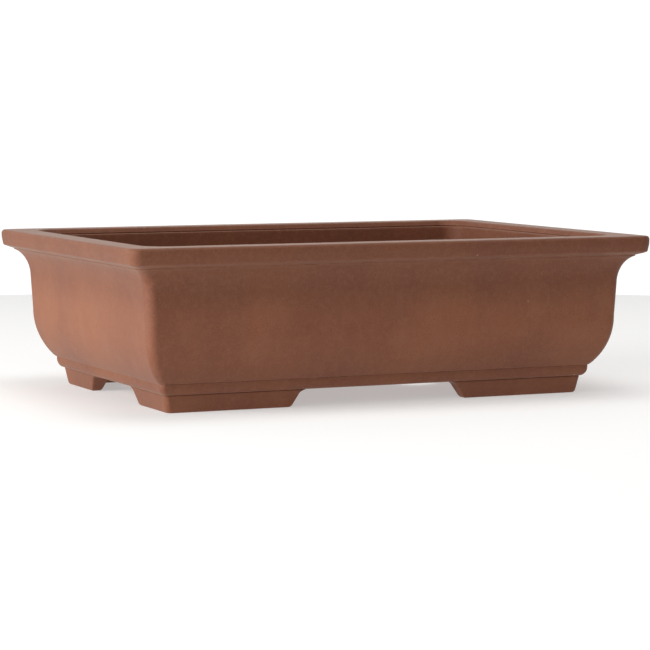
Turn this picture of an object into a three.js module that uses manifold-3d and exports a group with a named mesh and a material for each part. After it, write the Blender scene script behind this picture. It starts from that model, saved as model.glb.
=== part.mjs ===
// Rectangular footed bonsai pot of unglazed stoneware, built up from clay slabs and strips.
// Millimetres, +Z up. X runs along the long sides, -Y is a long side, the feet stand on z = 0.
// Every moulding is given as a cross-section in two numbers: how far a point lies inside the
// outermost edge of the rim, and how high it lies. A third number rounds the corner in plan.
import * as THREE from 'three';
import Module from 'manifold-3d';

// overall
const potLength = 450;
const potWidth = 325;
const potHeight = 130;
const joint = 0.3; // slip joint left open between two pieces of clay
const cornerSteps = 8;

// rim
const fasciaHeight = 13.3;
const fasciaSlant = 1.2;
const rimEdgeRound = 2.6;
const rimPlate = 5; // thickness of the flat plate behind the fascia
const skirtDepth = 8.3; // how thick the hanging fascia strip is
const skirtDrop = 2.4; // its underside slopes down this much towards the wall
const rimFlat = 22; // from the outermost edge to the inner edge of the flat top
const lipSlant = 1.5;
const rimCorner = 9;
const mouthCorner = 20;

// walls
const overhang = 19.4; // rim edge to the neck of the wall
const neckThickness = 6.8;
const bellyThickness = 7.8;
const toeThickness = 13.5;
const batter = 1.4;
const bellyDraw = 15; // how far the belly curves in above the base moulding
const bodyCorner = 8;
const insideCorner = 16;

// base
const footHeight = 14.2;
const bandHeight = 9.1;
const bandSetback = 1.4; // face of the base moulding behind the belly's lower edge
const bandDepth = 9.5;
const bandRound = [5, 7.5]; // depth and height of its rounded lower edge
const footInset = 0.2; // behind the underside of the base moulding
const footTaper = 2.5;
const footRound = 2.3;
const footTopDepth = 16;
const footBottomDepth = 12;
const footLongArm = 114; // along the long side, at the top of the foot
const footShortArm = 74.2;
const longEndSlope = 6.2; // how far a foot's end leans in towards the corner
const shortEndSlope = 8;
const footFlare = 6.5; // hollow curve where a foot's end runs up into the base

// floor
const drainDiameter = 34;
const wiringDiameter = 7;

// heights and offsets that follow
const halfLength = potLength / 2;
const halfWidth = potWidth / 2;
const baseTop = footHeight + bandHeight;
const wallFoot = baseTop + joint;
const fasciaFoot = potHeight - fasciaHeight;
const plateFoot = potHeight - rimPlate;
const wallTop = plateFoot - joint;
const bodyHeight = fasciaFoot - wallFoot;
const neckHeight = fasciaFoot - 0.277 * bodyHeight;
const cavettoHeight = fasciaFoot - skirtDrop - neckHeight - joint;
const bellyRise = 0.435 * bodyHeight;
const bellyHeight = wallFoot + bellyRise;
const bellyOffset = overhang + batter;
const bellyFootOffset = bellyOffset + bellyDraw;
const toeOffset = bellyFootOffset + toeThickness;
const bandOffset = bellyFootOffset + bandSetback;
const bandInner = bandOffset + bandDepth;
const footOffset = bandOffset + bandRound[0] + footInset;
const cavettoStart = 5.4;

const wasm = await Module();
wasm.setup();

const radians = (degrees) => (degrees * Math.PI) / 180;

// a quarter turn of an ellipse, or part of one, as cross-section points
function ellipse(centre, radii, fromDegrees, toDegrees, steps, corners) {
  const points = [];
  for (let i = 0; i <= steps; i += 1) {
    const t = radians(fromDegrees + ((toDegrees - fromDegrees) * i) / steps);
    const corner = corners[0] + ((corners[1] - corners[0]) * i) / steps;
    points.push([centre[0] + radii[0] * Math.cos(t), centre[1] + radii[1] * Math.sin(t), corner]);
  }
  return points;
}

// rounded rectangle in plan, the same number of points whatever its size
function plan(offset, height, corner) {
  const radius = Math.max(corner, 0.5);
  const x = halfLength - offset - radius;
  const y = halfWidth - offset - radius;
  const points = [];
  for (const [sx, sy, start] of [[1, 1, 0], [-1, 1, 90], [-1, -1, 180], [1, -1, 270]]) {
    for (let i = 0; i <= cornerSteps; i += 1) {
      const t = radians(start + (90 * i) / cornerSteps);
      points.push([sx * x + radius * Math.cos(t), sy * y + radius * Math.sin(t), height]);
    }
  }
  return points;
}

function solid(positions, triangles) {
  return new wasm.Manifold(new wasm.Mesh({
    numProp: 3,
    vertProperties: Float32Array.from(positions.flat()),
    triVerts: Uint32Array.from(triangles.flat()),
  }));
}

// sweeps a closed cross-section once round the pot
function ring(section) {
  const loops = section.map(([offset, height, corner]) => plan(offset, height, corner));
  const around = loops[0].length;
  const triangles = [];
  for (let i = 0; i < loops.length; i += 1) {
    const next = (i + 1) % loops.length;
    for (let j = 0; j < around; j += 1) {
      const k = (j + 1) % around;
      const [a, b, c, d] = [i * around + j, i * around + k, next * around + k, next * around + j];
      triangles.push([a, b, c], [a, c, d]);
    }
  }
  const swept = solid(loops.flat(), triangles);
  if (swept.volume() > 0) return swept;
  return solid(loops.flat(), triangles.map(([a, b, c]) => [a, c, b]));
}

// an upright or lying prism over a flat outline, made closed and outward facing
function prism(outline, place, from, to) {
  const count = outline.length;
  const positions = [...outline.map((p) => place(p, from)), ...outline.map((p) => place(p, to))];
  const faces = THREE.ShapeUtils.triangulateShape(outline.map((p) => new THREE.Vector2(...p)), []);
  const triangles = [];
  for (const [a, b, c] of faces) triangles.push([a, c, b], [a + count, b + count, c + count]);
  for (let i = 0; i < count; i += 1) {
    const k = (i + 1) % count;
    triangles.push([i, k, k + count], [i, k + count, i + count]);
  }
  const body = solid(positions, triangles);
  if (body.volume() > 0) return body;
  return solid(positions, triangles.map(([a, b, c]) => [a, c, b]));
}

const clay = {
  rim: 0x9c6a56,
  wall: 0x8e5b47,
  band: 0x945f4a,
  foot: 0x89543f,
  floor: 0x7d4c3a,
};

const pot = new THREE.Group();
pot.name = 'bonsai_pot';

function addPiece(name, body, colour) {
  const mesh = body.getMesh();
  const geometry = new THREE.BufferGeometry();
  geometry.setAttribute('position', new THREE.BufferAttribute(new Float32Array(mesh.vertProperties), 3));
  geometry.setIndex(new THREE.BufferAttribute(new Uint32Array(mesh.triVerts), 1));
  geometry.computeVertexNormals();
  const piece = new THREE.Mesh(geometry, new THREE.MeshStandardMaterial({ color: colour, roughness: 0.85 }));
  piece.name = name;
  pot.add(piece);
}

// the four sides of a ring, parted at the corners along the mitre with half a joint each
function addSides(prefix, section, colour) {
  const swept = ring(section);
  const out = 20;
  const inward = 90;
  const slack = (joint / 2) * Math.SQRT2;
  const upright = (p, z) => [p[0], p[1], z];
  const sides = { front: [halfLength, halfWidth, 0], right: [halfWidth, halfLength, 90] };
  sides.back = [halfLength, halfWidth, 180];
  sides.left = [halfWidth, halfLength, 270];
  for (const [side, [along, across, turn]] of Object.entries(sides)) {
    const outline = [
      [-along - out + slack, -across - out],
      [along + out - slack, -across - out],
      [along - inward - slack, -across + inward],
      [-along + inward + slack, -across + inward],
    ];
    const wedge = prism(outline, upright, -10, potHeight + 10).rotate([0, 0, turn]);
    addPiece(`${prefix}_${side}`, swept.intersect(wedge), colour);
  }
}

// rim: flat plate with a slanted inner lip and a fascia strip that hangs over the wall's edge
const fascia = [fasciaSlant, fasciaFoot + 2.1];
const rimSection = [
  ...ellipse([rimEdgeRound, potHeight - rimEdgeRound], [rimEdgeRound, rimEdgeRound], 180, 90, 5,
    [rimCorner, rimCorner - rimEdgeRound]),
  [rimFlat, potHeight, mouthCorner],
  [rimFlat + 0.7, potHeight - 0.25, mouthCorner - 0.7],
  [rimFlat + 1.2, potHeight - 1, mouthCorner - 1.2],
  [rimFlat + 1.2 + lipSlant, plateFoot + 1, mouthCorner - 2.6],
  [rimFlat + 0.5 + lipSlant, plateFoot, mouthCorner - 2],
  [skirtDepth, plateFoot, 8],
  [skirtDepth, fasciaFoot - skirtDrop, 8],
  [4.2, fasciaFoot - 0.3 * skirtDrop, rimCorner - 4.2],
  [2.6, fasciaFoot - 0.1, rimCorner - 2.6],
  [1.6, fasciaFoot + 0.7, rimCorner - 1.6],
  [fascia[0], fascia[1], rimCorner - fascia[0]],
];
addSides('rim', rimSection, clay.rim);

// walls: flared hollow curve under the rim, slightly battered, drawn in at the foot
const flange = skirtDepth + joint;
const cavettoWidth = overhang - cavettoStart;
const cavettoEnd = (Math.acos((flange - cavettoStart) / cavettoWidth) * 180) / Math.PI;
const bellyEnd = 51;
const bellyRadii = [
  bellyDraw / (1 - Math.cos(radians(bellyEnd))),
  bellyRise / Math.sin(radians(bellyEnd)),
];
const outerBelly = ellipse([bellyOffset + bellyRadii[0], bellyHeight], bellyRadii,
  180, 180 + bellyEnd, 10, [bodyCorner, 6]);
const innerHeight = bellyHeight + 2;
const innerEnd = 58;
const innerOffset = bellyOffset + bellyThickness;
const innerRadii = [
  (toeOffset - innerOffset) / (1 - Math.cos(radians(innerEnd))),
  (innerHeight - wallFoot) / Math.sin(radians(innerEnd)),
];
const innerBelly = ellipse([innerOffset + innerRadii[0], innerHeight], innerRadii,
  180 + innerEnd, 180, 10, [insideCorner + 6, insideCorner]);
const neckInner = overhang + neckThickness;
const wallSection = [
  [flange, wallTop, 7.7],
  ...ellipse([cavettoStart, neckHeight], [cavettoWidth, cavettoHeight], cavettoEnd, 0, 9, [7.7, bodyCorner]),
  ...outerBelly,
  ...innerBelly,
  [neckInner, neckHeight, insideCorner],
  [neckInner, wallTop - 0.9, insideCorner],
  [neckInner - 0.9, wallTop, insideCorner + 1],
];
addSides('wall', wallSection, clay.wall);

// base moulding: narrow strip with a rounded lower edge, wrapped round the floor
const bandSection = [
  [bandOffset + 0.1, baseTop - 0.8, 4.4],
  [bandOffset + 0.8, baseTop, 4],
  [bandInner, baseTop, 4],
  [bandInner, footHeight, 4],
  ...ellipse([bandOffset + bandRound[0], footHeight + bandRound[1]], bandRound, 270, 180, 7, [3.5, 4.5]),
];
addSides('band', bandSection, clay.band);

// floor: one slab inside the base moulding, pierced for drainage and for tie wires
const floorX = halfLength - bandInner - joint;
const floorY = halfWidth - bandInner - joint;
const floorShape = new THREE.Shape();
const floorCorner = 4;
floorShape.moveTo(-floorX + floorCorner, -floorY);
for (const [cx, cy, start] of [[1, -1, 270], [1, 1, 0], [-1, 1, 90], [-1, -1, 180]]) {
  floorShape.absarc(cx * (floorX - floorCorner), cy * (floorY - floorCorner), floorCorner,
    radians(start), radians(start + 90), false);
}
floorShape.closePath();
const drains = [[-0.5, 0], [0.5, 0]];
const wirings = [[-0.78, -0.66], [0.78, -0.66], [-0.78, 0.66], [0.78, 0.66]];
for (const [places, diameter] of [[drains, drainDiameter], [wirings, wiringDiameter]]) {
  for (const [u, v] of places) {
    const hole = new THREE.Path();
    hole.absarc(u * floorX, v * floorY, diameter / 2, 0, 2 * Math.PI, true);
    floorShape.holes.push(hole);
  }
}
const slab = new THREE.ExtrudeGeometry(floorShape, {
  depth: bandHeight,
  bevelEnabled: false,
  curveSegments: 24,
});
slab.translate(0, 0, footHeight);
const floorSlab = new THREE.Mesh(slab, new THREE.MeshStandardMaterial({ color: clay.floor, roughness: 0.9 }));
floorSlab.name = 'floor_slab';
pot.add(floorSlab);

// feet: one bracket round each corner, tapered, with sloped ends that flare into the base
const footTop = footHeight - joint;
const footSection = [
  [footOffset, footTop, 4],
  [footOffset + footTaper, footRound, 3.6],
  ...ellipse([footOffset + footTaper + footRound, footRound], [footRound, footRound], 198, 270, 4, [3.4, 2]),
  [footOffset + footBottomDepth - 1.2, 0, 2],
  [footOffset + footBottomDepth, 1.2, 2],
  [footOffset + footTopDepth, footTop, 2],
];
const footRing = ring(footSection);
// outline of one arm seen square on: distance from the pot's middle plane, then height
function armOutline(end, slope) {
  const far = end + 400;
  const low = end + slope;
  return [
    [far, footTop + 5],
    [end - footFlare, footTop + 5],
    [end - footFlare, footTop - 0.4],
    [end - footFlare * 0.55, footTop - 0.7],
    [end - footFlare * 0.2, footTop - 1.6],
    [end + 0.6, footTop - 3.2],
    [low - 0.6, 2.6],
    [low + 0.3, 1.2],
    [low + 1.6, 0.3],
    [low + 3, 0],
    [low + 3, -5],
    [far, -5],
  ];
}
const longEnd = halfLength - footOffset - footLongArm;
const shortEnd = halfWidth - footOffset - footShortArm;
const longArm = prism(armOutline(longEnd, longEndSlope), (p, y) => [p[0], y, p[1]], -halfWidth - 10, -halfWidth + 70);
const shortArm = prism(armOutline(shortEnd, shortEndSlope), (p, x) => [x, -p[0], p[1]], halfLength - 70, halfLength + 10);
const frontRight = footRing.intersect(longArm).add(footRing.intersect(shortArm));
addPiece('foot_front_right', frontRight, clay.foot);
addPiece('foot_front_left', frontRight.mirror([1, 0, 0]), clay.foot);
addPiece('foot_back_right', frontRight.mirror([0, 1, 0]), clay.foot);
addPiece('foot_back_left', frontRight.rotate([0, 0, 180]), clay.foot);

export default pot;
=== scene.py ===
import math

import bmesh
import bpy
from mathutils import Matrix, Vector


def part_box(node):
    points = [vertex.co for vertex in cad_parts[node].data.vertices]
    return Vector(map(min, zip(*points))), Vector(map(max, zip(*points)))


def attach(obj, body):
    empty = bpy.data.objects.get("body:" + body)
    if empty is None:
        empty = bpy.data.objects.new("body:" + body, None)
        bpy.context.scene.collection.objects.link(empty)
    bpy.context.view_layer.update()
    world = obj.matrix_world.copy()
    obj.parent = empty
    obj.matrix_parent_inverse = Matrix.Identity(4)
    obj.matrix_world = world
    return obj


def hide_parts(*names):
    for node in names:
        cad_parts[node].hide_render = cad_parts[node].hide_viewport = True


mm = 0.001

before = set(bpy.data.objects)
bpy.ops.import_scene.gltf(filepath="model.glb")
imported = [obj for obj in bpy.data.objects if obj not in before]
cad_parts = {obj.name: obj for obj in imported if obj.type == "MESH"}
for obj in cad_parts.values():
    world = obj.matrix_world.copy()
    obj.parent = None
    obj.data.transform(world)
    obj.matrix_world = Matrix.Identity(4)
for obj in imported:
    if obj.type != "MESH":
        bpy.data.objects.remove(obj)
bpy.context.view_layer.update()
print("frame loaded")


def linearColour(hexColour):
    # "#rrggbb" as painted on a screen, turned to the linear values that Blender works in
    channels = []
    for i in (1, 3, 5):
        value = int(hexColour[i:i + 2], 16) / 255
        channels.append(value / 12.92 if value <= 0.04045 else ((value + 0.055) / 1.055) ** 2.4)
    return (*channels, 1.0)


def addNode(tree, kind, settings=None, inputs=None):
    # settings are the node's own properties; an input is a value, a socket or a node
    node = tree.nodes.new(kind)
    for name, value in (settings or {}).items():
        setattr(node, name, value)
    for key, value in (inputs or {}).items():
        if isinstance(value, bpy.types.Node):
            value = value.outputs[0]
        if isinstance(value, bpy.types.NodeSocket):
            tree.links.new(value, node.inputs[key])
        else:
            node.inputs[key].default_value = value
    return node


def calculator(tree):
    # returns a shorthand that adds one sum to the tree
    def calc(operation, a, b=0.0, clamp=False):
        settings = {"operation": operation, "use_clamp": clamp}
        return addNode(tree, "ShaderNodeMath", settings, {0: a, 1: b}).outputs[0]
    return calc


# sizes read from the frame
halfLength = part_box("rim_right")[1].x
halfWidth = -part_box("rim_front")[0].y
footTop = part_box("foot_front_right")[1].z
floorLow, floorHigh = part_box("floor_slab")
margin = 0.1 * mm  # room kept inside the frame for the drift of the surface
print("sizes read", halfLength, halfWidth)


degreesPerStep = 11  # of a rounded edge


# corner points of a cross-section: offset inwards from the rim's outermost edge, height, corner
# radius in plan, and how the point is treated: a number rounds it with that radius, "through" is a
# point of a curve, "joint" is a sharp edge hidden between two pieces of clay
def roundedOutline(points, spacing):
    loop = []
    count = len(points)
    for i, (offset, height, corner, kind) in enumerate(points):
        here = Vector((offset, height))
        if kind in ("through", "joint"):
            loop.append((offset, height, corner, kind == "joint"))
            continue
        before = Vector(points[i - 1][:2]) - here
        after = Vector(points[(i + 1) % count][:2]) - here
        turn = math.pi - before.angle(after)
        reach = min(kind * math.tan(turn / 2), 0.49 * before.length, 0.49 * after.length)
        radius = reach / math.tan(turn / 2)
        start = here + before.normalized() * reach
        end = here + after.normalized() * reach
        middle = (before.normalized() + after.normalized()).normalized()
        centre = here + middle * (radius / math.cos(turn / 2))
        steps = max(3, round(math.degrees(turn) / degreesPerStep))
        a0 = math.atan2(start.y - centre.y, start.x - centre.x)
        a1 = math.atan2(end.y - centre.y, end.x - centre.x)
        swing = (a1 - a0 + math.pi) % (2 * math.pi) - math.pi
        for k in range(steps + 1):
            a = a0 + swing * k / steps
            x = centre.x + radius * math.cos(a)
            loop.append((x, centre.y + radius * math.sin(a), corner + offset - x, False))
    fine = []
    for i, point in enumerate(loop):
        nextPoint = loop[(i + 1) % len(loop)]
        fine.append(point)
        gap = math.hypot(nextPoint[0] - point[0], nextPoint[1] - point[1])
        pieces = max(1, math.ceil(gap / spacing))
        for k in range(1, pieces):
            t = k / pieces
            fine.append(tuple(point[j] + (nextPoint[j] - point[j]) * t for j in range(3)) + (False,))
    return fine


# points along part of an ellipse, while the corner radius goes from the first of corners to the last
def ellipseRun(centre, radii, fromAngle, toAngle, steps, corners):
    run = []
    for k in range(steps + 1):
        a = math.radians(fromAngle + (toAngle - fromAngle) * k / steps)
        corner = corners[0] + (corners[1] - corners[0]) * k / steps
        place = (centre[0] + radii[0] * math.cos(a), centre[1] + radii[1] * math.sin(a))
        run.append((*place, corner, "through"))
    return run


sharpTurn = 1.2  # radians within the reach that count as the sharpest edge or crease


def curlOf(loop, reach):
    # how sharply the section bulges (+) or hollows (-), averaged over the reach
    count = len(loop)
    area = 0.0
    for here, ahead in zip(loop, loop[1:] + loop[:1]):
        area += here[0] * ahead[1] - ahead[0] * here[1]
    sense = 1 if area > 0 else -1
    turns = []
    for i in range(count):
        a, b, c = loop[i - 1], loop[i], loop[(i + 1) % count]
        d1 = math.atan2(b[1] - a[1], b[0] - a[0])
        d2 = math.atan2(c[1] - b[1], c[0] - b[0])
        turns.append(sense * ((d2 - d1 + math.pi) % (2 * math.pi) - math.pi))
    curl = []
    for i in range(count):
        total = 0.0 if loop[i][3] else turns[i]
        for way in (-1, 1):
            travelled, k = 0.0, i
            while True:
                j = (k + way) % count
                travelled += math.hypot(loop[j][0] - loop[k][0], loop[j][1] - loop[k][1])
                if travelled > reach or loop[j][3]:
                    break
                total += turns[j] * (1 - travelled / reach)
                k = j
        curl.append(max(-1.0, min(1.0, total / sharpTurn)))
    return curl


weldDistance = 0.002 * mm


def closed(tree, geometry, curl, joint):
    # keeps what the clay needs to know of its edges, then welds the seams
    perPoint = {"data_type": "FLOAT", "domain": "POINT"}
    for name, value in (("curl", curl), ("joint", joint)):
        geometry = addNode(tree, "GeometryNodeStoreNamedAttribute", perPoint, {
            0: geometry, "Name": name, "Value": value})
    geometry = addNode(tree, "GeometryNodeMergeByDistance", None, {0: geometry, "Distance": weldDistance})
    return addNode(tree, "GeometryNodeSetShadeSmooth", {"domain": "FACE"}, {
        0: geometry, "Shade Smooth": True})


def finishTree(tree, geometry, material):
    # the last nodes of a piece: one real mesh, in its material
    geometry = addNode(tree, "GeometryNodeRealizeInstances", None, {0: geometry})
    geometry = addNode(tree, "GeometryNodeSetMaterial", None, {0: geometry, "Material": material})
    addNode(tree, "NodeGroupOutput", None, {0: geometry})


sideEase = 0.9  # gathers the steps of a side towards the corners
cornerWear = 0.002  # radius at which an upright corner counts as a worn edge


def sweepTree():
    # carries a cross-section round the pot: each quarter is one corner and then one straight side
    tree = bpy.data.node_groups.new("sweepMoulding", "GeometryNodeTree")
    face = tree.interface
    face.new_socket("Cross-section", in_out="INPUT", socket_type="NodeSocketGeometry")
    for name, value in (("Half Length", 0.2), ("Half Width", 0.15)):
        face.new_socket(name, in_out="INPUT", socket_type="NodeSocketFloat").default_value = value
    for name, value in (("Corner Steps", 16), ("Straight Steps", 28)):
        face.new_socket(name, in_out="INPUT", socket_type="NodeSocketInt").default_value = value
    face.new_socket("Material", in_out="INPUT", socket_type="NodeSocketMaterial")
    face.new_socket("Moulding", in_out="OUTPUT", socket_type="NodeSocketGeometry")
    given = tree.nodes.new("NodeGroupInput").outputs

    calc = calculator(tree)
    corner, straight = given["Corner Steps"], given["Straight Steps"]
    quarter = calc("ADD", corner, straight)
    around = calc("MULTIPLY", quarter, 4.0)
    rows = calc("ADD", around, 1.0)
    pointCount = addNode(tree, "GeometryNodeAttributeDomainSize", {"component": "MESH"}, {
        0: given["Cross-section"]}).outputs["Point Count"]
    grid = addNode(tree, "GeometryNodeMeshGrid", None, {
        "Size X": 1.0, "Size Y": 1.0, "Vertices X": calc("ADD", pointCount, 1.0), "Vertices Y": rows})
    index = addNode(tree, "GeometryNodeInputIndex")
    column = calc("FLOOR", calc("DIVIDE", calc("ADD", index, 0.5), rows))
    row = calc("SUBTRACT", index, calc("MULTIPLY", column, rows))
    sectionIndex = calc("MODULO", column, pointCount)
    side = calc("FLOOR", calc("DIVIDE", calc("ADD", row, 0.5), quarter))
    step = calc("SUBTRACT", row, calc("MULTIPLY", side, quarter))
    bend = calc("DIVIDE", step, corner, True)  # 0 to 1 round a corner
    run = calc("DIVIDE", calc("SUBTRACT", step, corner), straight, True)  # 0 to 1 along a side
    wave = calc("SINE", calc("MULTIPLY", run, 2 * math.pi))
    eased = calc("SUBTRACT", run, calc("MULTIPLY", wave, sideEase / (2 * math.pi)))

    def sampled(kind, name):
        value = addNode(tree, "GeometryNodeInputPosition") if name is None else addNode(
            tree, "GeometryNodeInputNamedAttribute", {"data_type": kind}, {"Name": name})
        return addNode(tree, "GeometryNodeSampleIndex", {"data_type": kind, "domain": "POINT"}, {
            0: given["Cross-section"], "Value": value, "Index": sectionIndex}).outputs[0]

    section = addNode(tree, "ShaderNodeSeparateXYZ", None, {0: sampled("FLOAT_VECTOR", None)})
    offset, radius, height = section.outputs
    inset = calc("ADD", offset, radius)
    places = []
    for half, turn in (("Half Length", "COSINE"), ("Half Width", "SINE")):
        reach = calc("SUBTRACT", given[half], inset)
        ends = []
        for shift in (0.5, 1.5):
            angle = calc("MULTIPLY", calc("ADD", side, shift), math.pi / 2)
            ends.append(calc("MULTIPLY", calc(turn, angle), math.sqrt(2)))
        between = calc("ADD", ends[0], calc("MULTIPLY", eased, calc("SUBTRACT", ends[1], ends[0])))
        swing = calc(turn, calc("MULTIPLY", calc("ADD", side, bend), math.pi / 2))
        places.append(calc("ADD", calc("MULTIPLY", between, reach), calc("MULTIPLY", swing, radius)))
    place = addNode(tree, "ShaderNodeCombineXYZ", None, {0: places[0], 1: places[1], 2: height})
    geometry = addNode(tree, "GeometryNodeSetPosition", None, {0: grid, "Position": place})
    inCorner = calc("SINE", calc("MULTIPLY", bend, math.pi))
    cornerCurl = calc("MULTIPLY", inCorner, calc("DIVIDE", cornerWear, radius), True)
    curl = calc("ADD", sampled("FLOAT", "curl"), cornerCurl)
    geometry = closed(tree, geometry, curl, sampled("FLOAT", "joint"))
    jointHere = addNode(tree, "GeometryNodeInputNamedAttribute", {"data_type": "FLOAT"}, {"Name": "joint"})
    bothEnds = addNode(tree, "FunctionNodeCompare", {"data_type": "FLOAT", "operation": "GREATER_THAN"}, {
        0: jointHere, 1: 0.99})
    geometry = addNode(tree, "GeometryNodeSetShadeSmooth", {"domain": "EDGE"}, {
        0: geometry, "Selection": bothEnds, "Shade Smooth": False})
    finishTree(tree, geometry, given["Material"])
    return tree


sweepMoulding = sweepTree()


claySeed = 3.0


def shaping(drift, ripple):
    # how far the clay's surface strays, in mm, and over what distance, for its two kinds of waver
    return {"Drift": drift[0] * mm, "Drift Size": drift[1] * mm,
            "Ripple": ripple[0] * mm, "Ripple Size": ripple[1] * mm, "Seed": claySeed}


heldFoot = 12 * mm  # the clay keeps its height at the very bottom, so that the pot stands level
upwardShare = 0.5  # the surface drifts half as far up and down as sideways


def handShapedTree():
    # hand-built clay is never quite true: a slow drift of the surface and faint scraping waves
    tree = bpy.data.node_groups.new("handShaped", "GeometryNodeTree")
    face = tree.interface
    face.new_socket("Piece", in_out="INPUT", socket_type="NodeSocketGeometry")
    for name, value in shaping((0.5, 160), (0.1, 20)).items():
        face.new_socket(name, in_out="INPUT", socket_type="NodeSocketFloat").default_value = value
    face.new_socket("Piece", in_out="OUTPUT", socket_type="NodeSocketGeometry")
    given = tree.nodes.new("NodeGroupInput").outputs
    calc = calculator(tree)
    position = addNode(tree, "GeometryNodeInputPosition")
    moved = None
    for depth, size in (("Drift", "Drift Size"), ("Ripple", "Ripple Size")):
        scale = calc("DIVIDE", 1.0, given[size])
        scaled = addNode(tree, "ShaderNodeVectorMath", {"operation": "SCALE"}, {0: position, "Scale": scale})
        shifted = addNode(tree, "ShaderNodeVectorMath", {"operation": "ADD"}, {0: scaled, 1: given["Seed"]})
        noise = addNode(tree, "ShaderNodeTexNoise", {"noise_dimensions": "3D"}, {
            "Vector": shifted, "Scale": 1.0, "Detail": 1.0})
        centred = addNode(tree, "ShaderNodeVectorMath", {"operation": "SUBTRACT"}, {
            0: noise.outputs["Color"], 1: (0.5, 0.5, 0.5)})
        pushed = addNode(tree, "ShaderNodeVectorMath", {"operation": "SCALE"}, {
            0: centred, "Scale": given[depth]})
        moved = pushed if moved is None else addNode(
            tree, "ShaderNodeVectorMath", {"operation": "ADD"}, {0: moved, 1: pushed})
    height = addNode(tree, "ShaderNodeSeparateXYZ", None, {0: position}).outputs["Z"]
    upward = calc("MULTIPLY", calc("DIVIDE", height, heldFoot, True), upwardShare)
    held = addNode(tree, "ShaderNodeCombineXYZ", None, {0: 1.0, 1: 1.0, 2: upward})
    offset = addNode(tree, "ShaderNodeVectorMath", {"operation": "MULTIPLY"}, {0: moved, 1: held})
    shaped = addNode(tree, "GeometryNodeSetPosition", None, {0: given["Piece"], "Offset": offset})
    addNode(tree, "NodeGroupOutput", None, {0: shaped})
    return tree


handShaped = handShapedTree()


def applyNodes(piece, tree, values):
    # runs a node tree on a piece and returns the mesh that it makes
    modifier = piece.modifiers.new(tree.name, "NODES")
    modifier.node_group = tree
    for item in tree.interface.items_tree:
        if item.item_type == "SOCKET" and item.in_out == "INPUT" and item.name in values:
            modifier[item.identifier] = values[item.name]
    evaluated = piece.evaluated_get(bpy.context.evaluated_depsgraph_get())
    mesh = bpy.data.meshes.new_from_object(evaluated)
    piece.modifiers.remove(modifier)
    return mesh


# the inputs of the foot's tree, in millimetres
footSizes = {
    "Long Arm": 115.4,  # along the long side, to where the end's slope would meet the base
    "Short Arm": 76.2,
    "Offset": 42.4,  # outer face behind the rim's outermost edge
    "Taper": 2.8,
    "Top Depth": 16,
    "Bottom Depth": 11.4,
    "Flare": 5.1,  # hollow curve where an end runs up into the base moulding
    "Flare Height": 3.4,
    "Corner": 4,
    "Edge": 2.0,
    "Bottom Edge": 2.3,
    "Top Edge": 0.5,
}
footSlopes = {"Long End Slope": 0.60, "Short End Slope": 0.80}  # how far an end draws in, per mm of height
footSteps = {"Vertices X": 230, "Vertices Y": 22, "Vertices Z": 20}  # along the foot, across it and up
lutedIn = 0.45 * mm  # how far a foot's top is pressed up against the base moulding
footBend = 2.2  # how quickly the hollow curve of an end bends
footWear = 2.4  # how much the lower edges of a foot wear
topShare = 0.999  # of the height, above which a foot is joined to the moulding


def lengths(sizes):
    return {name: size * mm for name, size in sizes.items()}


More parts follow.
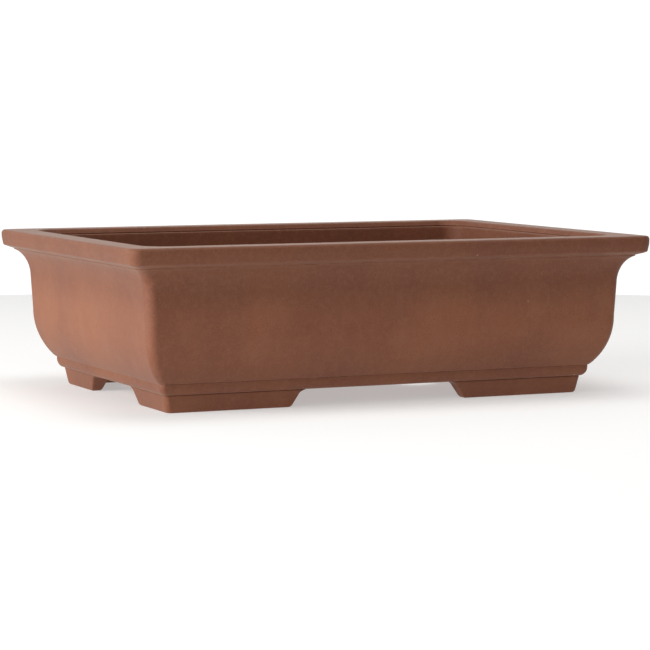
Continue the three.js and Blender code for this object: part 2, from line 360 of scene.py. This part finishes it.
def footTree():
    # a block bent round the corner: its length runs along one arm and then down the other
    tree = bpy.data.node_groups.new("cornerFoot", "GeometryNodeTree")
    face = tree.interface
    inputs = {"Half Length": halfLength, "Half Width": halfWidth, "Height": footTop,
              "Side X": 1.0, "Side Y": -1.0}
    for name, value in (*inputs.items(), *footSlopes.items(), *lengths(footSizes).items()):
        face.new_socket(name, in_out="INPUT", socket_type="NodeSocketFloat").default_value = value
    face.new_socket("Material", in_out="INPUT", socket_type="NodeSocketMaterial")
    face.new_socket("Foot", in_out="OUTPUT", socket_type="NodeSocketGeometry")
    given = tree.nodes.new("NodeGroupInput").outputs
    calc = calculator(tree)

    block = addNode(tree, "GeometryNodeMeshCube", None, {"Size": (2.0, 2.0, 2.0), **footSteps})
    along, across, upward = addNode(tree, "ShaderNodeSeparateXYZ", None, {
        0: addNode(tree, "GeometryNodeInputPosition")}).outputs
    isTop = calc("GREATER_THAN", upward, 0.0)
    lowRadius = given["Bottom Edge"]
    upRadius = calc("ADD", lowRadius, calc("MULTIPLY", isTop, calc("SUBTRACT", given["Top Edge"], lowRadius)))
    length = calc("ADD", given["Long Arm"], given["Short Arm"])
    depth = calc("MULTIPLY", calc("ADD", given["Top Depth"], given["Bottom Depth"]), 0.5)
    cores, steps = [], []
    for coordinate, size, radius in ((along, length, given["Edge"]), (across, depth, given["Edge"]),
                                     (upward, given["Height"], upRadius)):
        half = calc("MULTIPLY", size, 0.5)
        place = calc("MULTIPLY", coordinate, half)
        limit = calc("SUBTRACT", half, radius)
        core = calc("MAXIMUM", calc("MINIMUM", place, limit), calc("MULTIPLY", limit, -1.0))
        cores.append((core, radius, half))
        steps.append(calc("DIVIDE", calc("SUBTRACT", place, core), radius))
    push = addNode(tree, "ShaderNodeCombineXYZ", None, {0: steps[0], 1: steps[1], 2: steps[2]})
    reach = addNode(tree, "ShaderNodeVectorMath", {"operation": "LENGTH"}, {0: push}).outputs["Value"]
    rounded = [calc("ADD", core, calc("DIVIDE", calc("MULTIPLY", radius, step), reach))
               for (core, radius, half), step in zip(cores, steps)]
    path = calc("ADD", rounded[0], cores[0][2])
    share = calc("DIVIDE", calc("ADD", rounded[1], cores[1][2]), depth)
    height = calc("ADD", rounded[2], cores[2][2])
    level = calc("DIVIDE", height, given["Height"])

    taper = calc("MULTIPLY", given["Taper"], calc("SUBTRACT", 1.0, level))
    widening = calc("SUBTRACT", given["Top Depth"], given["Bottom Depth"])
    thickness = calc("ADD", given["Bottom Depth"], calc("MULTIPLY", level, widening))
    throughWall = calc("MULTIPLY", share, calc("SUBTRACT", thickness, taper))
    inset = calc("ADD", calc("ADD", given["Offset"], taper), throughWall)
    drop = calc("SUBTRACT", given["Height"], height)
    flareStart = calc("SUBTRACT", given["Height"], given["Flare Height"])
    rise = calc("DIVIDE", calc("SUBTRACT", height, flareStart), given["Flare Height"], True)
    flare = calc("MULTIPLY", given["Flare"], calc("POWER", rise, footBend))
    corner = given["Corner"]
    longStraight = calc("SUBTRACT", given["Long Arm"], corner)
    firstRun = calc("DIVIDE", path, longStraight, True)
    bendLength = calc("MULTIPLY", corner, 2.0)
    pastFirst = calc("SUBTRACT", path, longStraight)
    bend = calc("DIVIDE", pastFirst, bendLength, True)
    pastBend = calc("SUBTRACT", pastFirst, bendLength)
    lastRun = calc("DIVIDE", pastBend, calc("SUBTRACT", given["Short Arm"], corner), True)
    turn = calc("MULTIPLY", bend, math.pi / 2)
    shortRun = calc("SUBTRACT", 1.0, lastRun)
    places = []
    for half, arm, slope, swing, fromEnd in (
            ("Half Length", "Long Arm", "Long End Slope", calc("SINE", turn), firstRun),
            ("Half Width", "Short Arm", "Short End Slope", calc("COSINE", turn), shortRun)):
        endDraw = calc("SUBTRACT", calc("MULTIPLY", given[slope], drop), flare)
        bendStart = calc("SUBTRACT", calc("SUBTRACT", given[half], inset), corner)
        outside = calc("SUBTRACT", given[half], given["Offset"])
        armEnd = calc("ADD", calc("SUBTRACT", outside, given[arm]), endDraw)
        straight = calc("ADD", armEnd, calc("MULTIPLY", fromEnd, calc("SUBTRACT", bendStart, armEnd)))
        places.append(calc("ADD", straight, calc("MULTIPLY", corner, swing)))
    xPlace = calc("MULTIPLY", given["Side X"], places[0])
    yPlace = calc("MULTIPLY", given["Side Y"], places[1])
    place = addNode(tree, "ShaderNodeCombineXYZ", None, {0: xPlace, 1: yPlace, 2: height})
    geometry = addNode(tree, "GeometryNodeSetPosition", None, {0: block, "Position": place})
    edge = calc("SUBTRACT", reach, 1.0)
    curl = calc("MULTIPLY", edge, calc("SUBTRACT", footWear, calc("MULTIPLY", isTop, footWear)))
    joint = calc("GREATER_THAN", level, topShare)
    finishTree(tree, closed(tree, geometry, curl, joint), given["Material"])
    return tree


cornerFoot = footTree()


# unglazed stoneware: iron-red clay, dry and matt, darkened with painted shade from the neck up through the
# rim and towards the foot, painted shade in the hollows, rubbed paler at the edges, with fine grog and a few
# pale specks in the body
claySurface = {
    "deep": "#7c4830",
    "body": "#875033",
    "pale": "#935f44",
    "edge": "#9c6b52",
    # painted shade for the hollows of the section
    "hollowShade": "#5c3524",
    "speck": "#d9b8a2",
    "darkSpeck": "#3c2018",
    "paintedShade": "#5a2f1c",  # painted shade: darker from the neck up through the rim, and darker towards the foot
    "paintedShadeTop": (68, 100),  # mm up, between which the painted shade comes in; above it stays in, over the rim too
    "underRim": 0.46,  # shares of the painted shade colour
    "paintedShadeFoot": (60, 20),
    "paintedShadeLower": 0.30,
    "cloudSize": 70,  # mm
    "cloudStretch": (1, 1, 0.7),  # clouds and streaks lie longer up and down
    "cloudFrom": (0.36, 0.66),  # each pair is where a tint begins, and where it is fully in
    "streakSize": 24,
    "streakStretch": (1, 1, 0.45),
    "streakFrom": (0.4, 0.8),
    "streaks": 0.28,
    "wearSize": 9,
    "wearFrom": (0.35, 0.7),
    "leastWear": 0.35,
    "edgeFrom": (0.12, 0.9),
    "wear": 0.55,
    "hollowShadeFrom": (0.1, 0.8),
    "hollowShadeDepth": 0.5,
    "mottleSize": 4.5,
    "mottleFrom": (0.42, 0.68),
    "mottle": 0.16,
    "grogSize": 0.9,
    "paleGrogFrom": (0.54, 0.68),
    "paleGrog": 0.36,
    "darkGrogFrom": (0.46, 0.32),
    "darkGrog": 0.32,
    "speckSpacing": 11,
    "speckShare": 0.14,  # of the places where a speck could be
    "speckEdge": (0.055, 0.03),
    "specks": 0.7,
    "fineGrit": (0.45, 0.045),  # size in mm, height in mm
    "coarseGrit": (2.6, 0.10),
    "proudGrogFrom": (0.60, 0.75),
    "proudGrog": 0.05,  # mm that grog stands out of the surface
    "proudSpeck": 0.04,
    "relief": 0.8,
    "roughness": 0.66,
    "roughnessDrift": (18, 0.2),  # size in mm, how much the roughness varies
    "bloom": 0.19,  # dry powdery surface, pale where it is seen edge on
    "bloomColour": "#f4e9dc",
    "bloomRoughness": 0.4,
    "refraction": 1.45,
}


def stonewareMaterial():
    look = claySurface
    material = bpy.data.materials.new("unglazedStoneware")
    material.use_nodes = True
    tree = material.node_tree
    tree.nodes.clear()
    coordinates = addNode(tree, "ShaderNodeTexCoord").outputs["Object"]

    def noise(size, detail=3.0, roughness=0.55, stretch=(1, 1, 1)):
        # size is in mm, and a stretch below 1 makes the noise longer that way
        placed = addNode(tree, "ShaderNodeMapping", None, {"Vector": coordinates, "Scale": stretch})
        made = addNode(tree, "ShaderNodeTexNoise", {"noise_dimensions": "3D"}, {
            "Vector": placed, "Scale": 1 / (size * mm), "Detail": detail, "Roughness": roughness})
        return made.outputs["Fac"]

    def ramp(value, bounds, least=0.0):
        # an eased rise from least to 1 between the two bounds
        return addNode(tree, "ShaderNodeMapRange", {"interpolation_type": "SMOOTHSTEP"}, {
            "Value": value, "From Min": bounds[0], "From Max": bounds[1], "To Min": least, "To Max": 1.0,
        }).outputs[0]

    def blend(share, first, second):
        node = addNode(tree, "ShaderNodeMix", {"data_type": "RGBA", "blend_type": "MIX"}, {0: share})
        for index, value in ((6, first), (7, second)):
            if isinstance(value, str):
                node.inputs[index].default_value = linearColour(value)
            else:
                tree.links.new(value, node.inputs[index])
        return node.outputs[2]

    calc = calculator(tree)
    clouds = noise(look["cloudSize"], 2.0, 0.5, look["cloudStretch"])
    streaks = noise(look["streakSize"], 4.0, 0.6, look["streakStretch"])
    colour = blend(ramp(clouds, look["cloudFrom"]), look["deep"], look["body"])
    streaked = calc("MULTIPLY", ramp(streaks, look["streakFrom"]), look["streaks"])
    colour = blend(streaked, colour, look["pale"])
    edges = addNode(tree, "ShaderNodeAttribute", {"attribute_type": "GEOMETRY", "attribute_name": "curl"})
    curl = edges.outputs["Fac"]
    wearPatches = ramp(noise(look["wearSize"]), look["wearFrom"], look["leastWear"])
    rubbed = calc("MULTIPLY", ramp(curl, look["edgeFrom"]), wearPatches)
    colour = blend(calc("MULTIPLY", rubbed, look["wear"]), colour, look["edge"])
    # painted shade: darker in the hollows of the section, where shade falls
    hollow = ramp(calc("MULTIPLY", curl, -1.0), look["hollowShadeFrom"])
    colour = blend(calc("MULTIPLY", hollow, look["hollowShadeDepth"]), colour, look["hollowShade"])
    # painted shade: darker over the upper part, from the neck up through the rim, and darker towards the foot
    level = addNode(tree, "ShaderNodeSeparateXYZ", None, {0: coordinates}).outputs[2]
    under = ramp(level, [height * mm for height in look["paintedShadeTop"]])
    below = ramp(level, [height * mm for height in look["paintedShadeFoot"]])
    shadeUnder = calc("MULTIPLY", under, look["underRim"])
    shadeBelow = calc("MULTIPLY", below, look["paintedShadeLower"])
    colour = blend(calc("ADD", shadeUnder, shadeBelow), colour, look["paintedShade"])
    grain = noise(look["grogSize"], 3.0, 0.7)
    mottle = ramp(noise(look["mottleSize"], 2.0), look["mottleFrom"])
    colour = blend(calc("MULTIPLY", mottle, look["mottle"]), colour, look["pale"])
    paleGrog = calc("MULTIPLY", ramp(grain, look["paleGrogFrom"]), look["paleGrog"])
    colour = blend(paleGrog, colour, look["pale"])
    darkGrog = calc("MULTIPLY", ramp(grain, look["darkGrogFrom"]), look["darkGrog"])
    colour = blend(darkGrog, colour, look["darkSpeck"])
    cells = addNode(tree, "ShaderNodeTexVoronoi", {"feature": "F1"}, {
        "Vector": coordinates, "Scale": 1 / (look["speckSpacing"] * mm), "Randomness": 1.0})
    chance = addNode(tree, "ShaderNodeSeparateXYZ", None, {0: cells.outputs["Color"]}).outputs[0]
    chosen = calc("GREATER_THAN", chance, 1 - look["speckShare"])
    speck = calc("MULTIPLY", ramp(cells.outputs["Distance"], look["speckEdge"]), chosen)
    colour = blend(calc("MULTIPLY", speck, look["specks"]), colour, look["speck"])

    fineSize, fineHeight = look["fineGrit"]
    coarseSize, coarseHeight = look["coarseGrit"]
    fine = calc("MULTIPLY", noise(fineSize, 2.0, 0.6), fineHeight)
    height = calc("ADD", fine, calc("MULTIPLY", noise(coarseSize, 3.0, 0.6), coarseHeight))
    proudGrog = calc("MULTIPLY", ramp(grain, look["proudGrogFrom"]), look["proudGrog"])
    height = calc("ADD", height, proudGrog)
    height = calc("ADD", height, calc("MULTIPLY", speck, look["proudSpeck"]))
    bump = addNode(tree, "ShaderNodeBump", None, {
        "Height": height, "Strength": look["relief"], "Distance": mm})
    driftSize, drift = look["roughnessDrift"]
    rough = calc("ADD", look["roughness"] - drift / 2, calc("MULTIPLY", noise(driftSize), drift))
    shader = addNode(tree, "ShaderNodeBsdfPrincipled", None, {
        "Base Color": colour, "Roughness": rough, "Normal": bump, "IOR": look["refraction"],
        "Sheen Weight": look["bloom"], "Sheen Roughness": look["bloomRoughness"],
        "Sheen Tint": linearColour(look["bloomColour"])})
    addNode(tree, "ShaderNodeOutputMaterial", None, {"Surface": shader})
    return material


stoneware = stonewareMaterial()
print("material made")


def finishPiece(piece, nodes, waver):
    # gives a piece its hand-made surface, parents it to the root body, and hides the nodes that it stands for
    mesh = piece.data
    bm = bmesh.new()
    bm.from_mesh(mesh)
    bmesh.ops.recalc_face_normals(bm, faces=bm.faces)
    bm.to_mesh(mesh)
    bm.free()
    piece.data = applyNodes(piece, handShaped, waver)
    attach(piece, "root")
    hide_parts(*nodes)
    print("made", piece.name, len(piece.data.polygons), "faces")


def sweptPiece(name, nodes, points, sizes):
    # points are in millimetres, as roundedOutline takes them
    scaled = []
    for offset, height, corner, kind in points:
        rounding = kind if isinstance(kind, str) else kind * mm
        scaled.append((offset * mm, height * mm, corner * mm, rounding))
    loop = roundedOutline(scaled, sizes["detail"] * mm)
    edges = [(i, (i + 1) % len(loop)) for i in range(len(loop))]
    section = bpy.data.meshes.new(name + "Section")
    section.from_pydata([(offset, corner, height) for offset, height, corner, _ in loop], edges, [])
    curl = curlOf(loop, sizes["curlReach"] * mm)
    joint = [float(point[3]) for point in loop]
    for key, values in (("curl", curl), ("joint", joint)):
        section.attributes.new(key, "FLOAT", "POINT").data.foreach_set("value", values)
    piece = bpy.data.objects.new(name, section)
    bpy.context.scene.collection.objects.link(piece)
    piece.data = applyNodes(piece, sweepMoulding, {
        "Half Length": halfLength - margin, "Half Width": halfWidth - margin, "Material": stoneware,
        "Corner Steps": sizes["cornerSteps"], "Straight Steps": sizes["straightSteps"]})
    finishPiece(piece, nodes, sizes["waver"])


def sides(kind):
    return [f"{kind}_{side}" for side in ("front", "back", "left", "right")]


# detail and curlReach are in mm: the step along a cross-section, and the width that its edges wear over
rim = {
    "detail": 1.6, "cornerSteps": 22, "straightSteps": 60, "curlReach": 1.4,
    "waver": shaping((0.5, 130), (0.08, 22)),
}
rimOutline = [
    (0, 129.8, 9, 2.8),
    (22.2, 129.8, 20, 0.8),
    (23.2, 129, 20, 0.8),
    (24.7, 125.9, 20, 0.8),
    (24.0, 125, 20, "joint"),
    (8.3, 125, 8, "joint"),
    (8.3, 114.3, 8, "joint"),
    (4.2, 116.0, 4.8, 6),
    (1.43, 117.0, 7.6, 1.8),
    (0.05, 123.6, 9, 12),
]
sweptPiece("rim", sides("rim"), rimOutline, rim)

walls = {
    "detail": 2.2, "cornerSteps": 20, "straightSteps": 60, "curlReach": 2.0,
    "waver": shaping((0.9, 110), (0.16, 24)),
}
wallOutline = (
    [(8.6, 125, 7.7, "joint")]
    + ellipseRun((5.4, 90.93), (14, 23.1), 76.8, 0, 18, (7.7, 8))
    + ellipseRun((61.3, 64.1), (40.5, 52.1), 180, 229.2, 22, (8, 6))
    + [(36.0, 23.4, 6, 1.5), (38.5, 23.4, 6, "joint"), (49.3, 23.4, 22, "joint")]
    + ellipseRun((72.6, 66.1), (44, 50.1), 237.5, 180, 14, (22, 16))
    + [(26.2, 90.9, 16, "through"), (26.2, 125, 16, 1.2), (24.6, 125, 16, "joint")]
)
sweptPiece("walls", sides("wall"), wallOutline, walls)

moulding = {
    "detail": 1.2, "cornerSteps": 16, "straightSteps": 60, "curlReach": 1.2,
    "waver": shaping((0.7, 120), (0.10, 18)),
}
mouldingOutline = (
    [(46.7, 23.7, 4, "joint"), (46.7, 14.2, 4, "joint")]
    + ellipseRun((42.2, 21.7), (5, 7.5), 268, 184, 12, (3.5, 4.5))
    + [(37.2, 23.7, 4.4, 0.9)]
)
sweptPiece("baseMoulding", sides("band"), mouldingOutline, moulding)

footWaver = shaping((0.5, 90), (0.12, 12))
for end, sideY in (("front", -1.0), ("back", 1.0)):
    for hand, sideX in (("right", 1.0), ("left", -1.0)):
        piece = bpy.data.objects.new(f"foot_{end}_{hand}Clay", bpy.data.meshes.new("footBlank"))
        bpy.context.scene.collection.objects.link(piece)
        piece.data = applyNodes(piece, cornerFoot, {
            "Half Length": halfLength, "Half Width": halfWidth, "Height": footTop + lutedIn,
            "Side X": sideX, "Side Y": sideY, "Material": stoneware, **lengths(footSizes), **footSlopes})
        finishPiece(piece, [f"foot_{end}_{hand}"], footWaver)

floorSizes = {
    "halfSides": (178.0, 115.5),
    "corner": 4,
    "cornerSteps": 6,
    "drainRadius": 17,
    "drainPlaces": [(-89.0, 0), (89.0, 0)],
    "drainSteps": 64,
    "wireRadius": 3.5,
    "wirePlaces": [(x, y) for x in (-138.8, 138.8) for y in (-76.2, 76.2)],
    "wireSteps": 28,
    "edge": 1.6,  # rounding of the holes' edges, at most edgeShare of a hole's radius
    "edgeShare": 0.4,
    "edgeSteps": 5,
    "edgeWear": 0.8,
    "waver": shaping((0.3, 120), (0.0, 20)),
}


def ring(centre, radius, z, steps):
    # the points of a level circle
    angles = [2 * math.pi * k / steps for k in range(steps)]
    return [(centre[0] + radius * math.cos(a), centre[1] + radius * math.sin(a), z) for a in angles]


def floorSlab():
    # upright walls for the outline and the holes, and then flat faces between them
    bm = bmesh.new()
    top, bottom = floorHigh.z, floorLow.z
    halfX, halfY = (v * mm for v in floorSizes["halfSides"])
    curlLayer = bm.verts.layers.float.new("curl")
    topLoops, bottomLoops = [], []

    def strip(rings):
        made = [[bm.verts.new(place) for place in places] for places in rings]
        for lower, upper in zip(made, made[1:]):
            for i in range(len(lower)):
                j = (i + 1) % len(lower)
                bm.faces.new((lower[i], lower[j], upper[j], upper[i]))
        for loop, store in ((made[0], bottomLoops), (made[-1], topLoops)):
            store.extend(bm.edges.get((loop[i], loop[(i + 1) % len(loop)])) for i in range(len(loop)))
        return made

    outline = []
    corner = floorSizes["corner"] * mm
    cornerSteps = floorSizes["cornerSteps"]
    for quarter, (signX, signY) in enumerate(((1, 1), (-1, 1), (-1, -1), (1, -1))):
        for k in range(cornerSteps + 1):
            a = (quarter + k / cornerSteps) * math.pi / 2
            outline.append((signX * (halfX - corner) + corner * math.cos(a),
                            signY * (halfY - corner) + corner * math.sin(a)))
    strip([[(x, y, z) for x, y in outline] for z in (bottom, top)])
    for kind in ("drain", "wire"):
        radius, steps = floorSizes[kind + "Radius"] * mm, floorSizes[kind + "Steps"]
        edge = min(floorSizes["edge"] * mm, floorSizes["edgeShare"] * radius)
        last = floorSizes["edgeSteps"]
        turns = [k / last * math.pi / 2 for k in range(last + 1)]
        profile = [(radius + edge * (1 - math.sin(a)), bottom + edge * (1 - math.cos(a))) for a in turns]
        profile += [(r, top - (z - bottom)) for r, z in reversed(profile)]
        for x, y in floorSizes[kind + "Places"]:
            made = strip([ring((x * mm, y * mm), r, z, steps) for r, z in profile])
            for worn in made[2:5] + made[8:11]:  # the middle of each rounded edge
                for v in worn:
                    v[curlLayer] = floorSizes["edgeWear"]
    bmesh.ops.triangle_fill(bm, edges=bottomLoops, use_beauty=True, normal=(0, 0, -1))
    bmesh.ops.triangle_fill(bm, edges=topLoops, use_beauty=True, normal=(0, 0, 1))
    bmesh.ops.recalc_face_normals(bm, faces=bm.faces)
    mesh = bpy.data.meshes.new("floorClay")
    bm.to_mesh(mesh)
    bm.free()
    mesh.materials.append(stoneware)
    mesh.shade_smooth()
    return mesh


piece = bpy.data.objects.new("floorClay", floorSlab())
bpy.context.scene.collection.objects.link(piece)
finishPiece(piece, ["floor_slab"], floorSizes["waver"])
print("pieces made")


# the ground, the lamps and the camera, in metres and watts
studio = {
    "ground": "#cfcecc",
    "groundRadius": 1.1,
    "groundGlow": 0.40,  # the table is lit from below, so shadows stay pale
    "aim": (0, 0, 0.07),
    "lamps": {
        "key": {"place": (-2.5, -0.2, 0.55), "size": 1.5, "power": 77},
        "front": {"place": (-0.8, -2.2, 1.1), "size": 1.8, "power": 11},
        "top": {"place": (0.1, -0.1, 2.3), "size": 1.6, "power": 27},
    },
    "brightSide": (0.4115, 0.9073, 0.0),  # the room is bright behind the pot and dim everywhere else
    "brightFrom": (0.35, 0.985),
    "room": (0.14, 1.08),
    "backdrop": 1.08,  # what the eye sees behind the pot from any side
}
view = {
    "lens": 147.76, "sensor": 36.0,
    "azimuth": -24.398, "elevation": 4.951, "distance": 2.22187,
    "sideways": 0.00567, "height": 0.05261,
}
white = (1.0, 1.0, 1.0, 1.0)


def groundMaterial():
    # matt paper: no gloss, and a little light of its own
    material = bpy.data.materials.new("paleGround")
    material.use_nodes = True
    inputs = material.node_tree.nodes["Principled BSDF"].inputs
    inputs["Base Color"].default_value = linearColour(studio["ground"])
    inputs["Roughness"].default_value = 0.9
    inputs["Specular IOR Level"].default_value = 0.0
    inputs["Emission Color"].default_value = white
    inputs["Emission Strength"].default_value = studio["groundGlow"]
    return material


def studioRoom():
    # light that is strongest from behind the pot, and a pale wall that only the camera sees
    world = bpy.data.worlds.new("studio")
    bpy.context.scene.world = world
    world.use_nodes = True
    tree = world.node_tree
    tree.nodes.clear()
    towards = addNode(tree, "ShaderNodeTexCoord").outputs["Generated"]
    facing = addNode(tree, "ShaderNodeVectorMath", {"operation": "DOT_PRODUCT"}, {
        0: towards, 1: studio["brightSide"]}).outputs["Value"]
    low, high = studio["brightFrom"]
    dim, bright = studio["room"]
    strength = addNode(tree, "ShaderNodeMapRange", {"interpolation_type": "SMOOTHSTEP"}, {
        "Value": facing, "From Min": low, "From Max": high, "To Min": dim, "To Max": bright})
    roomLight = addNode(tree, "ShaderNodeBackground", None, {"Color": white, "Strength": strength})
    paperWall = addNode(tree, "ShaderNodeBackground", None, {"Color": white, "Strength": studio["backdrop"]})
    seen = addNode(tree, "ShaderNodeLightPath").outputs["Is Camera Ray"]
    backdrop = addNode(tree, "ShaderNodeMixShader", None, {0: seen, 1: roomLight, 2: paperWall})
    addNode(tree, "ShaderNodeOutputWorld", None, {0: backdrop})


bm = bmesh.new()
bmesh.ops.create_circle(bm, cap_ends=True, radius=studio["groundRadius"], segments=96)
ground = bpy.data.objects.new("ground", bpy.data.meshes.new("ground"))
bm.to_mesh(ground.data)
bm.free()
ground.data.materials.append(groundMaterial())
bpy.context.scene.collection.objects.link(ground)

for name, lamp in studio["lamps"].items():
    light = bpy.data.lights.new(name, "AREA")
    light.shape = "SQUARE"
    light.size = lamp["size"]
    light.energy = lamp["power"]
    lightObject = bpy.data.objects.new(name, light)
    place = Vector(lamp["place"])
    turned = (place - Vector(studio["aim"])).to_track_quat("Z", "Y").to_matrix().to_4x4()
    lightObject.matrix_world = Matrix.Translation(place) @ turned
    bpy.context.scene.collection.objects.link(lightObject)
studioRoom()

cameraData = bpy.data.cameras.new("camera")
cameraData.sensor_fit = "HORIZONTAL"
cameraData.sensor_width = view["sensor"]
cameraData.lens = view["lens"]
camera = bpy.data.objects.new("camera", cameraData)
azimuth, elevation = math.radians(view["azimuth"]), math.radians(view["elevation"])
level = math.cos(elevation)
back = Vector((math.sin(azimuth) * level, -math.cos(azimuth) * level, math.sin(elevation)))
right = Vector((math.cos(azimuth), math.sin(azimuth), 0.0))
target = right * view["sideways"] + Vector((0, 0, view["height"]))
turned = back.to_track_quat("Z", "Y").to_matrix().to_4x4()
camera.matrix_world = Matrix.Translation(target + back * view["distance"]) @ turned
bpy.context.scene.collection.objects.link(camera)
scene = bpy.context.scene
scene.camera = camera
scene.view_settings.view_transform = "Standard"
scene.view_settings.look = "None"
scene.view_settings.exposure = 0.0
print("studio made")
